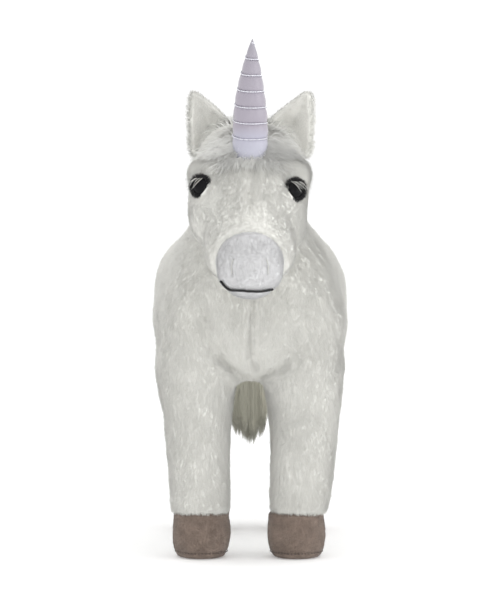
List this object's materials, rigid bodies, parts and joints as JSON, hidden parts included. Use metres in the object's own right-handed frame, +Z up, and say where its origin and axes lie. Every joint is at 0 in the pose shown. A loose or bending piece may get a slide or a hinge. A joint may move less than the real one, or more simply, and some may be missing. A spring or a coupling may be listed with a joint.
{
  "type": "plush unicorn",
  "caption": "Standing soft toy unicorn in white plush with a satin horn, upright ears, safety eyes, sprung stuffed legs, velour hooves and a hanging tail.",
  "frame": {"origin": "bottom centre of the whole toy, on the surface it stands on", "axes": "+Z up, the toy faces -Y, and its own left side is +X"},
  "size_m": [0.184, 0.4566, 0.4698],
  "materials": {
    "white_plush": "matte",
    "short_pile": "matte",
    "ear_lining_plush": "matte",
    "long_pile": "matte",
    "hoof_velour": "matte",
    "horn_satin": "satin",
    "glitter_thread": "gloss",
    "eye_gloss": "gloss",
    "black_embroidery": "matte",
    "washer_plastic": "matte",
    "fibre_fill": "matte"
  },
  "bodies": {
    "torso": {"body_cover_left": "white_plush", "body_cover_right": "white_plush", "belly_panel": "white_plush", "body_stuffing": "fibre_fill"},
    "neck": {"neck_cover_left": "white_plush", "neck_cover_right": "white_plush", "neck_stuffing": "fibre_fill", "neck_mane": "long_pile"},
    "head": {"head_cover_left": "white_plush", "head_cover_right": "white_plush", "forehead_panel": "white_plush", "muzzle_cover": "short_pile", "chin_panel": "short_pile", "head_stuffing": "fibre_fill", "forelock": "long_pile", "poll_mane": "long_pile", "mouth_stitching": "black_embroidery", "eye_left": "eye_gloss", "eye_washer_left": "washer_plastic", "eyelashes_left": "black_embroidery", "nostril_stitch_left": "short_pile", "eye_right": "eye_gloss", "eye_washer_right": "washer_plastic", "eyelashes_right": "black_embroidery", "nostril_stitch_right": "short_pile"},
    "horn": {"horn_cover": "horn_satin", "horn_stuffing": "fibre_fill", "horn_thread": "glitter_thread"},
    "ear_left": {"ear_back_left": "white_plush", "ear_lining_left": "ear_lining_plush"},
    "ear_right": {"ear_back_right": "white_plush", "ear_lining_right": "ear_lining_plush"},
    "tail_dock": {"tail_dock": "long_pile"},
    "tail": {"tail_hair": "long_pile"},
    "leg_front_left": {"leg_cover_front_left": "white_plush", "leg_stuffing_front_left": "fibre_fill", "hoof_cover_front_left": "hoof_velour", "hoof_sole_front_left": "hoof_velour"},
    "leg_front_right": {"leg_cover_front_right": "white_plush", "leg_stuffing_front_right": "fibre_fill", "hoof_cover_front_right": "hoof_velour", "hoof_sole_front_right": "hoof_velour"},
    "leg_hind_left": {"leg_cover_hind_left": "white_plush", "leg_stuffing_hind_left": "fibre_fill", "hoof_cover_hind_left": "hoof_velour", "hoof_sole_hind_left": "hoof_velour"},
    "leg_hind_right": {"leg_cover_hind_right": "white_plush", "leg_stuffing_hind_right": "fibre_fill", "hoof_cover_hind_right": "hoof_velour", "hoof_sole_hind_right": "hoof_velour"}
  },
  "joints": [
    {"name": "neck_nod", "type": "hinge", "parent": "torso", "child": "neck", "pos_m": [0, -0.05166, 0.282], "axis": [1, 0, 0], "range_deg": [-12, 12], "stiffness_Nm_per_rad": 4},
    {"name": "head_turn", "type": "hinge", "parent": "neck", "child": "head", "pos_m": [0, -0.08366, 0.335], "axis": [0, 0, 1], "range_deg": [-20, 20], "stiffness_Nm_per_rad": 1.5},
    {"name": "horn_flex", "type": "hinge", "parent": "head", "child": "horn", "pos_m": [0, -0.14466, 0.371], "axis": [1, 0, 0], "range_deg": [-9, 9], "stiffness_Nm_per_rad": 0.15},
    {"name": "ear_left_flop", "type": "hinge", "parent": "head", "child": "ear_left", "pos_m": [0.036, -0.09566, 0.384], "axis": [0.788, 0, -0.6157], "range_deg": [-25, 25], "stiffness_Nm_per_rad": 0.02},
    {"name": "ear_right_flop", "type": "hinge", "parent": "head", "child": "ear_right", "pos_m": [-0.036, -0.09566, 0.384], "axis": [0.788, 0, 0.6157], "range_deg": [-25, 25], "stiffness_Nm_per_rad": 0.02},
    {"name": "tail_lift", "type": "hinge", "parent": "torso", "child": "tail_dock", "pos_m": [0, 0.19234, 0.27], "axis": [1, 0, 0], "range_deg": [0, 70]},
    {"name": "tail_swing", "type": "hinge", "parent": "tail_dock", "child": "tail", "pos_m": [0, 0.21234, 0.252], "axis": [0, 1, 0], "range_deg": [-30, 30]},
    {"name": "leg_front_left_swing", "type": "hinge", "parent": "torso", "child": "leg_front_left", "pos_m": [0.052, -0.07966, 0.166], "axis": [1, 0, 0], "range_deg": [-12, 12], "stiffness_Nm_per_rad": 6},
    {"name": "leg_front_right_swing", "type": "hinge", "parent": "torso", "child": "leg_front_right", "pos_m": [-0.052, -0.07966, 0.166], "axis": [1, 0, 0], "range_deg": [-12, 12], "stiffness_Nm_per_rad": 6},
    {"name": "leg_hind_left_swing", "type": "hinge", "parent": "torso", "child": "leg_hind_left", "pos_m": [0.052, 0.12034, 0.17], "axis": [1, 0, 0], "range_deg": [-12, 12], "stiffness_Nm_per_rad": 6},
    {"name": "leg_hind_right_swing", "type": "hinge", "parent": "torso", "child": "leg_hind_right", "pos_m": [-0.052, 0.12034, 0.17], "axis": [1, 0, 0], "range_deg": [-12, 12], "stiffness_Nm_per_rad": 6}
  ]
}
